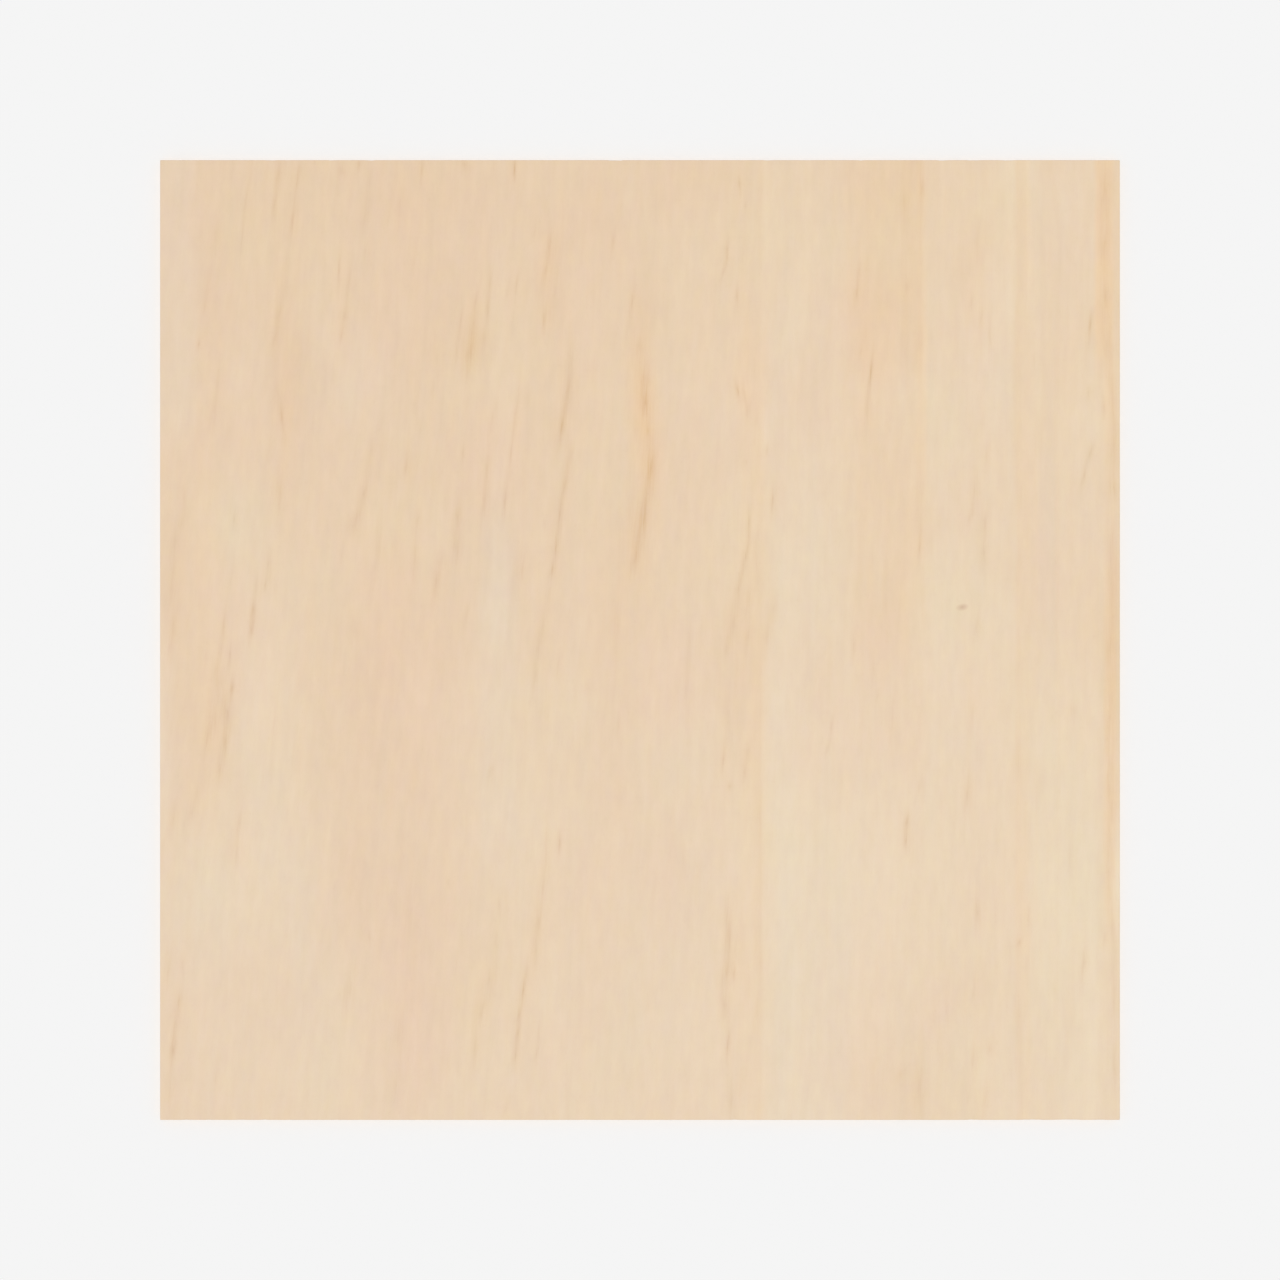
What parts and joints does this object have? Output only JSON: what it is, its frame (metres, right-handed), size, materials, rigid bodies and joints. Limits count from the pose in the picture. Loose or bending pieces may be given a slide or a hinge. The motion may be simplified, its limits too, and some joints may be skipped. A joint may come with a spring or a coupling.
{
  "type": "plywood sheet",
  "caption": "Thin square sheet of pale straight-grained plywood with two sanded faces and eased sawn edges, stock for cutting flat panels and shapes.",
  "frame": {"origin": "centre of the back face, which the sheet lies on", "axes": "+Z out of the good face, +Y along the grain of the good face, +X across it"},
  "size_m": [0.3, 0.3, 0.003],
  "materials": {
    "pale_veneer": "sanded bare veneer, matt, pale cream tan with fine brown flecks along the grain"
  },
  "bodies": {
    "root": {"plywood_sheet": "pale_veneer"}
  },
  "joints": []
}
